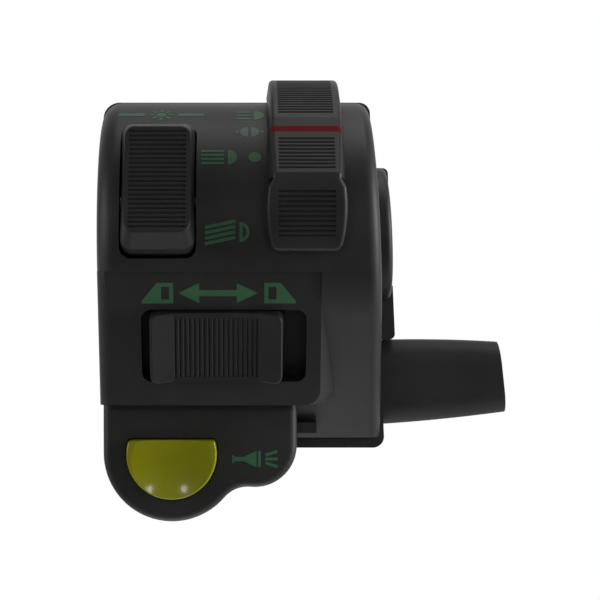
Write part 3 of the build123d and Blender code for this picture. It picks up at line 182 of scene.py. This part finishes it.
def grained(name, dark, pale, roughness, grain_size, grain_depth):
    """A material with a fine grain, whose colour drifts a little between two tones."""
    material = bpy.data.materials.new(name)
    material.use_nodes = True
    wiring = Wiring(material.node_tree)
    shader = material.node_tree.nodes["Principled BSDF"]
    surface = wiring.add("ShaderNodeGroup", node_tree=moulding_group)
    surface.inputs["Grain Size"].default_value = grain_size
    surface.inputs["Grain Depth"].default_value = grain_depth
    surface.inputs["Base Roughness"].default_value = roughness
    share = wiring.ramp(surface.outputs["Mottle"], mottle_low, mottle_high)
    wiring.link(wiring.mix(share, dark, pale), shader.inputs["Base Color"])
    wiring.link(surface.outputs["Roughness"], shader.inputs["Roughness"])
    wiring.link(surface.outputs["Normal"], shader.inputs["Normal"])
    return material, shader


def plastic(name, dark, pale, roughness, grain_size, grain_depth, specular=0.5, gloss=0.0):
    """A moulded plastic, a rubber or an ink. Its gloss is the weight of a clear coat."""
    material, shader = grained(name, dark, pale, roughness, grain_size, grain_depth)
    shader.inputs["Specular IOR Level"].default_value = specular
    shader.inputs["Coat Weight"].default_value = gloss
    shader.inputs["Coat Roughness"].default_value = coat_roughness
    return material


def metal(name, dark, pale, roughness):
    """A plated, rolled or drawn metal with a very fine grain."""
    material, shader = grained(name, dark, pale, roughness, grain_size=4000, grain_depth=0.15)
    shader.inputs["Metallic"].default_value = 1
    return material


finishes = {
    "housing": plastic(
        "housing_black", (0.0085, 0.0088, 0.0082), (0.0115, 0.0116, 0.011),
        roughness=0.5, grain_size=2400, grain_depth=0.35, specular=0.25,
    ),
    "grip_plastic": plastic(
        "grip_black", (0.0082, 0.0084, 0.008), (0.0105, 0.0107, 0.0103),
        roughness=0.5, grain_size=3000, grain_depth=0.22, specular=0.22,
    ),
    "boot_rubber": plastic(
        "boot_rubber", (0.0075, 0.0075, 0.0075), (0.0105, 0.0105, 0.0105),
        roughness=0.58, grain_size=2000, grain_depth=0.3, specular=0.22,
    ),
    "yellow_plastic": plastic(
        "button_yellow", (0.131, 0.135, 0.0013), (0.15, 0.154, 0.0019),
        roughness=0.3, grain_size=2200, grain_depth=0.1, specular=0.08, gloss=0.3,
    ),
    "red_fill": plastic(
        "index_red", (0.066, 0.0046, 0.0055), (0.08, 0.0055, 0.0072),
        roughness=0.6, grain_size=2400, grain_depth=0.2, specular=0.04,
    ),
    "marking_green": plastic(
        "marking_green", (0.0145, 0.065, 0.027), (0.0185, 0.075, 0.033),
        roughness=0.5, grain_size=2400, grain_depth=0.3, specular=0.3,
    ),
    "carrier_nylon": plastic(
        "natural_nylon", (0.66, 0.63, 0.55), (0.74, 0.71, 0.64),
        roughness=0.4, grain_size=1800, grain_depth=0.1,
    ),
    "laminate": plastic(
        "brown_laminate", (0.22, 0.1, 0.04), (0.3, 0.14, 0.05),
        roughness=0.45, grain_size=2600, grain_depth=0.3,
    ),
    "contact_brass": metal(
        "rolled_brass", (0.62, 0.42, 0.16), (0.72, 0.52, 0.22), roughness=0.3
    ),
    "plated_steel": metal("zinc_plate", (0.4, 0.4, 0.39), (0.5, 0.5, 0.48), roughness=0.45),
    "ball_steel": metal("ball_steel", (0.62, 0.62, 0.62), (0.7, 0.7, 0.7), roughness=0.15),
    "spring_steel": metal("spring_wire", (0.4, 0.4, 0.4), (0.5, 0.5, 0.5), roughness=0.3),
}


def dress(node_name):
    """Gives a CAD node its finish. Its mesh and its normals stay as they are."""
    for place in nodes[node_name].material_slots:
        place.material = finishes[slot_of_node[node_name]]


for node_name in nodes:
    dress(node_name)


def pressed_spring():
    """A copy of the horn's spring with its own mesh, which rides on the spring's body in place of
    the hidden CAD node.
    """
    source = nodes["horn_spring"]
    spring = source.copy()
    spring.data = source.data.copy()
    spring.name = "horn_spring_coil"
    spring.data.name = "horn_spring_coil"
    bpy.context.scene.collection.objects.link(spring)
    spring.parent = None
    spring.matrix_world = source.matrix_world
    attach(spring, body_of_node["horn_spring"])
    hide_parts("horn_spring")
    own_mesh(spring)


pressed_spring()


# Markings, printed in green beside the controls. Each is drawn flat, in millimetres, with x
# across and y up, and is then laid on the front shell.
lamp_stroke = 0.62
window_frame = 0.85
ink_height = 0.05
dot_sides = 32


def select_faces(wanted):
    """Selects the faces whose middle passes a test, in edit mode."""
    mesh = bmesh.from_edit_mesh(bpy.context.active_object.data)
    for face in mesh.faces:
        face.select_set(False)
    for face in mesh.faces:
        if wanted(face.calc_center_median()):
            face.select_set(True)
    mesh.select_flush_mode()
    bmesh.update_edit_mesh(bpy.context.active_object.data)


def turn_last(x, y, angle):
    """Turns what was just added anticlockwise. With no window the operator turns the other way."""
    bpy.ops.transform.rotate(value=-radians(angle), orient_axis="Z", center_override=(x, y, 0))


def bar(x, y, width, height, angle=0):
    """A flat bar, turned about its own middle."""
    bpy.ops.mesh.primitive_plane_add(size=1, location=(x, y, 0))
    bpy.ops.transform.resize(value=(width, height, 1), center_override=(x, y, 0))
    if angle:
        turn_last(x, y, angle)


def disc(x, y, radius):
    """A filled dot."""
    bpy.ops.mesh.primitive_circle_add(
        vertices=dot_sides, radius=radius, fill_type="NGON", location=(x, y, 0)
    )


def arrowhead(x, y, width, height, angle=0):
    """A filled triangle that points to +x before it is turned, from a three sided circle."""
    radius = width / 1.5
    side = 2 * radius * sin(pi / 3)
    bpy.ops.mesh.primitive_circle_add(
        vertices=3, radius=radius, fill_type="NGON", location=(x, y, 0)
    )
    turn_last(x, y, -90)
    bpy.ops.transform.resize(value=(1, height / side, 1), center_override=(x, y, 0))
    if angle:
        turn_last(x, y, angle)


def lamp_half(x, y, radius, side=1):
    """Half a disc, the usual sign for a lamp, round towards its side."""
    disc(x, y, radius)
    bpy.ops.mesh.bisect(plane_co=(x, y, 0), plane_no=(side, 0, 0), clear_inner=True)


def lamp_outline(x, y, radius):
    """The outline of a lamp's half disc, whose face has its middle at 0.42 of the radius."""
    lamp_half(x, y, radius)
    centre = Vector((x + 0.42 * radius, y, 0))
    near = 0.2 * radius
    select_faces(lambda middle: (middle - centre).length < near)
    bpy.ops.mesh.inset(thickness=lamp_stroke)
    bpy.ops.mesh.delete(type="FACE")


def draw_header():
    """A small sun between two rules, over the rocker."""
    disc(0, 0, radius=1.0)
    rays = 8
    ray_reach = 1.95
    for ray in range(rays):
        angle = ray * 360 / rays
        across = ray_reach * cos(radians(angle))
        up = ray_reach * sin(radians(angle))
        bar(across, up, width=1.0, height=0.6, angle=angle)
    for side in (-1, 1):
        bar(side * 6.2, 0, width=5.4, height=1.3)


def draw_headlamp():
    """A lamp with level rays, for the selector's upper place."""
    ray_pitch = 1.55
    lamp_half(0.6, 0, radius=2.1)
    for ray in (-1, 0, 1):
        bar(-1.6, ray * ray_pitch, width=2.8, height=0.75)


def draw_parking():
    """Two lamps back to back, for the selector's middle place."""
    for side in (-1, 1):
        lamp_half(side * 0.35, 0, radius=1.6, side=side)
        bar(side * 2.6, 0, width=0.7, height=0.6)


def draw_off():
    """The dot for the selector's lower place."""
    disc(0, 0, radius=1.25)


def draw_high_beam():
    """A lamp with four level rays."""
    ray_pitch = 1.0
    lamp_half(1.6, 0, radius=1.85)
    for ray in range(4):
        bar(-1.5, (ray - 1.5) * ray_pitch, width=4.6, height=0.55)


def draw_low_beam():
    """A lamp with four rays that slant down, the largest of the marks."""
    ray_pitch = 1.08
    ray_drop = 0.1
    lamp_outline(2.0, 0, radius=2.0)
    for ray in range(4):
        bar(-1.9, (ray - 1.5) * ray_pitch - ray_drop, width=6.2, height=0.66, angle=12)


def draw_turn_arrow(side):
    """An arrow whose outer edge slants, with a window in its inner half."""
    bar(0, 0, width=6.4, height=4.4)
    slant = (0.78 * side, 0.62, 0)
    bpy.ops.mesh.bisect(plane_co=(side * 0.9, 1.2, 0), plane_no=slant, clear_outer=True)
    bpy.ops.mesh.select_all(action="SELECT")
    bpy.ops.mesh.bisect(plane_co=(side * 0.1, 0, 0), plane_no=(1, 0, 0))
    select_faces(lambda middle: middle.x * side < 0)
    bpy.ops.mesh.inset(thickness=window_frame)
    bpy.ops.mesh.delete(type="FACE")


def draw_turn_pair():
    """One arrow with a head at each end, between the two slanted arrows."""
    head = 4.2
    bar(0, 0, width=7.6, height=1.3)
    arrowhead(-5.2, 0, head, head, angle=180)
    arrowhead(5.2, 0, head, head)


def draw_horn():
    """A trumpet and three sound lines."""
    mouthpiece_end = -3.0
    arrowhead(-1.4, 0, width=3.6, height=3.4, angle=180)
    bpy.ops.mesh.bisect(plane_co=(mouthpiece_end, 0, 0), plane_no=(-1, 0, 0), clear_outer=True)
    bar(-3.95, 0, width=1.9, height=0.9)
    bar(-5.1, 0, width=0.4, height=1.7)
    bar(0.4, 0, width=0.6, height=3.4)
    for line in (-1, 0, 1):
        bar(2.9, line * 1.2, width=2.6, height=0.6, angle=line * 18)


def slice_level():
    """Cuts a drawing in level strips, so that it can follow the barrel."""
    strip = 0.45
    strips_each_way = 9
    for step in range(-strips_each_way, strips_each_way + 1):
        bpy.ops.mesh.select_all(action="SELECT")
        bpy.ops.mesh.bisect(plane_co=(0, step * strip, 0), plane_no=(0, 1, 0))


def lay_print(name, draw, angle, x, out, along=0):
    """Draws a mark on a plane that faces up at an angle, and lays it on the front shell.

    In millimetres, out is how far the plane lies from the bar's axis, along is how far up the
    plane the mark sits, and x is its place along the bar.
    """
    deselect_all()
    bpy.ops.mesh.primitive_plane_add(size=1, location=(0, 0, 0))
    mark = bpy.context.active_object
    mark.name = name
    mark.data.name = name
    bpy.ops.object.mode_set(mode="EDIT")
    bpy.ops.mesh.delete(type="FACE")
    draw()
    slice_level()
    bpy.ops.mesh.select_all(action="SELECT")
    bpy.ops.transform.resize(value=(mm, mm, mm), center_override=(0, 0, 0))
    bpy.ops.object.mode_set(mode="OBJECT")
    turn = radians(angle)
    up = along * cos(turn) + out * sin(turn)
    forward = out * cos(turn) - along * sin(turn)
    mark.rotation_euler = (pi / 2 - turn, 0, 0)
    mark.location = (x * mm, -forward * mm, up * mm)
    wrap = mark.modifiers.new("wrap", "SHRINKWRAP")
    wrap.target = nodes["front_shell"]
    wrap.wrap_method = "PROJECT"
    wrap.use_project_z = True
    wrap.use_negative_direction = True
    wrap.use_positive_direction = True
    wrap.offset = 0
    bpy.ops.object.modifier_apply(modifier="wrap")
    skin = mark.modifiers.new("skin", "SOLIDIFY")
    skin.thickness = ink_height * mm
    skin.offset = 1
    bpy.ops.object.modifier_apply(modifier="skin")
    make_active(mark)
    bpy.ops.object.transform_apply(location=True, rotation=True, scale=True)
    mark.data.materials.clear()
    mark.data.materials.append(finishes["marking_green"])
    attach(mark, "housing")


# Marks on the barrel, each over or beside its control
barrel_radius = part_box("front_shell")[1].z / mm
lay_print("mark_header", draw_header, angle=60, x=-16.5, out=barrel_radius)
lay_print("mark_headlamp", draw_headlamp, angle=59.5, x=2.1, out=barrel_radius)
lay_print("mark_parking", draw_parking, angle=46.2, x=1.75, out=barrel_radius)
lay_print("mark_off", draw_off, angle=31.7, x=2.8, out=barrel_radius)
lay_print("mark_high_beam", draw_high_beam, angle=31.7, x=-4.25, out=barrel_radius)
lay_print("mark_low_beam", draw_low_beam, angle=-1.2, x=-2.3, out=barrel_radius)

# Marks on the pod's slanted face, in one row over the slider
pod_row = {"angle": -18.7, "out": 27.22, "along": -4.3}
lay_print("mark_turn_left", lambda: draw_turn_arrow(-1), x=-16.9, **pod_row)
lay_print("mark_turn_pair", draw_turn_pair, x=-4.65, **pod_row)
lay_print("mark_turn_right", lambda: draw_turn_arrow(1), x=7.9, **pod_row)

# Mark on the horn block's upright plate
lay_print("mark_horn", draw_horn, angle=0, x=3.45, out=12, along=-47.4)


# Camera, from how the photograph's edges run. Places and sizes are in metres from here on.
picture_width = 600
focal_pixels = 1825
principal_column = 241
principal_row = 300
sensor_width = 36
view_distance = 0.393
view_height = -0.0142


def place_camera():
    """The photograph's view, level, with the lens shifted so that the cluster sits at the left."""
    lens = bpy.data.cameras.new("camera")
    lens.sensor_width = sensor_width
    lens.lens = focal_pixels * sensor_width / picture_width
    lens.shift_x = (picture_width / 2 - principal_column) / picture_width
    lens.shift_y = (principal_row - picture_width / 2) / picture_width
    lens.clip_start = 0.01
    camera = bpy.data.objects.new("camera", lens)
    camera.location = (0, -view_distance, view_height)
    camera.rotation_euler = (pi / 2, 0, 0)
    bpy.context.scene.collection.objects.link(camera)
    bpy.context.scene.camera = camera


# Floor, room and lamps
def shown_white(wiring, behind):
    """One where a camera ray lands, and for mirrored rays as far as it lies behind the cluster."""
    path = wiring.add("ShaderNodeLightPath").outputs
    mirrored = wiring.math("MAXIMUM", path["Is Glossy Ray"], path["Is Transmission Ray"])
    return wiring.math("MAXIMUM", path["Is Camera Ray"], wiring.math("MULTIPLY", mirrored, behind))


def pale_floor():
    """A pale floor that shows its shadow near the cluster and plain white further out.

    On the rider's side its reflection is dim, as the room's is. Where a change starts and ends
    is measured from under the bar's axis.
    """
    floor_width = 8
    floor_height = -0.2
    grey = (0.62, 0.62, 0.62)
    dim_grey = (0.1, 0.1, 0.1)
    dim_starts, all_dim = -0.1, -0.25
    white_starts, all_white = 0.2, 0.6
    behind_starts, all_behind = 0, 0.5
    deselect_all()
    bpy.ops.mesh.primitive_plane_add(size=floor_width, location=(0, 0, floor_height))
    floor = bpy.context.active_object
    floor.name = "floor"
    material = bpy.data.materials.new("floor_pale")
    material.use_nodes = True
    wiring = Wiring(material.node_tree)
    shader = material.node_tree.nodes["Principled BSDF"]
    shader.inputs["Roughness"].default_value = 0.9
    shader.inputs["Specular IOR Level"].default_value = 0.1
    white = wiring.add("ShaderNodeEmission")
    white.inputs["Strength"].default_value = 1
    where = wiring.add("ShaderNodeTexCoord").outputs["Object"]
    away = wiring.add("ShaderNodeVectorMath", operation="LENGTH")
    wiring.link(where, away.inputs[0])
    split = wiring.add("ShaderNodeSeparateXYZ")
    wiring.link(where, split.inputs[0])
    rearward = split.outputs["Y"]
    seen = shown_white(wiring, wiring.ramp(rearward, behind_starts, all_behind))
    far = wiring.ramp(away.outputs["Value"], white_starts, all_white)
    mirrored = wiring.add("ShaderNodeLightPath").outputs["Is Glossy Ray"]
    dim = wiring.math("MULTIPLY", mirrored, wiring.ramp(rearward, dim_starts, all_dim))
    wiring.link(wiring.mix(dim, grey, dim_grey), shader.inputs["Base Color"])
    blend = wiring.add("ShaderNodeMixShader")
    wiring.link(wiring.math("MULTIPLY", seen, far), blend.inputs[0])
    wiring.link(shader.outputs["BSDF"], blend.inputs[1])
    wiring.link(white.outputs["Emission"], blend.inputs[2])
    surface = material.node_tree.nodes["Material Output"].inputs["Surface"]
    wiring.link(blend.outputs["Shader"], surface)
    floor.data.materials.append(material)


def studio_world():
    """White behind the cluster, and a dimmer room on the rider's side, as in the photograph.

    The camera sees it white all round.
    """
    room_fill = 0.22
    back_fill = 0.6
    room_ends, back_starts = 0.1, 0.8
    white_starts, all_white = 0.35, 0.85
    world = bpy.data.worlds.new("studio")
    bpy.context.scene.world = world
    world.use_nodes = True
    wiring = Wiring(world.node_tree)
    background = world.node_tree.nodes["Background"]
    direction = wiring.add("ShaderNodeTexCoord").outputs["Generated"]
    split = wiring.add("ShaderNodeSeparateXYZ")
    wiring.link(direction, split.inputs[0])
    rearward = split.outputs["Y"]
    brighter = wiring.ramp(rearward, room_ends, back_starts)
    rise = wiring.math("MULTIPLY", brighter, back_fill - room_fill)
    seen = shown_white(wiring, wiring.ramp(rearward, white_starts, all_white))
    strength = wiring.math("MAXIMUM", wiring.math("ADD", rise, room_fill), seen)
    wiring.link(strength, background.inputs["Strength"])
    background.inputs["Color"].default_value = (1, 1, 1, 1)


def soft_lamp(name, place, aim, size, strength, hidden=False):
    """A square soft lamp that points at a place. A hidden one doesn't show in the picture."""
    lamp = bpy.data.lights.new(name, "AREA")
    lamp.shape = "SQUARE"
    lamp.size = size
    lamp.energy = strength
    holder = bpy.data.objects.new(name, lamp)
    holder.location = place
    holder.rotation_euler = (Vector(aim) - Vector(place)).to_track_quat("-Z", "Y").to_euler()
    holder.visible_camera = not hidden
    bpy.context.scene.collection.objects.link(holder)


place_camera()
pale_floor()
studio_world()

bar_axis = (0, 0, 0)
pod_middle = (0, 0, -0.04)
flank_middle = (0.02, 0, -0.04)
soft_lamp("overhead", place=(0.1, 0.05, 0.7), aim=bar_axis, size=0.4, strength=2.0)
soft_lamp("right_side", place=(0.7, -0.12, 0.15), aim=bar_axis, size=0.3, strength=6.5)
soft_lamp("left_side", place=(-0.65, -0.2, 0.1), aim=bar_axis, size=0.3, strength=2.2)
soft_lamp("low_right", place=(0.6, -0.15, -0.17), aim=flank_middle, size=0.2, strength=1.6)
soft_lamp(
    "below", place=(-0.01, 0.02, -0.17), aim=(-0.01, 0.02, 0),
    size=0.11, strength=0.088, hidden=True,
)
# Two small lamps in front give the horn button its two highlights.
for name, side in (("front_left", -1), ("front_right", 1)):
    soft_lamp(name, place=(side * 0.12, -0.47, 0.1), aim=pod_middle, size=0.035, strength=0.13)

bpy.context.scene.view_settings.view_transform = "Standard"
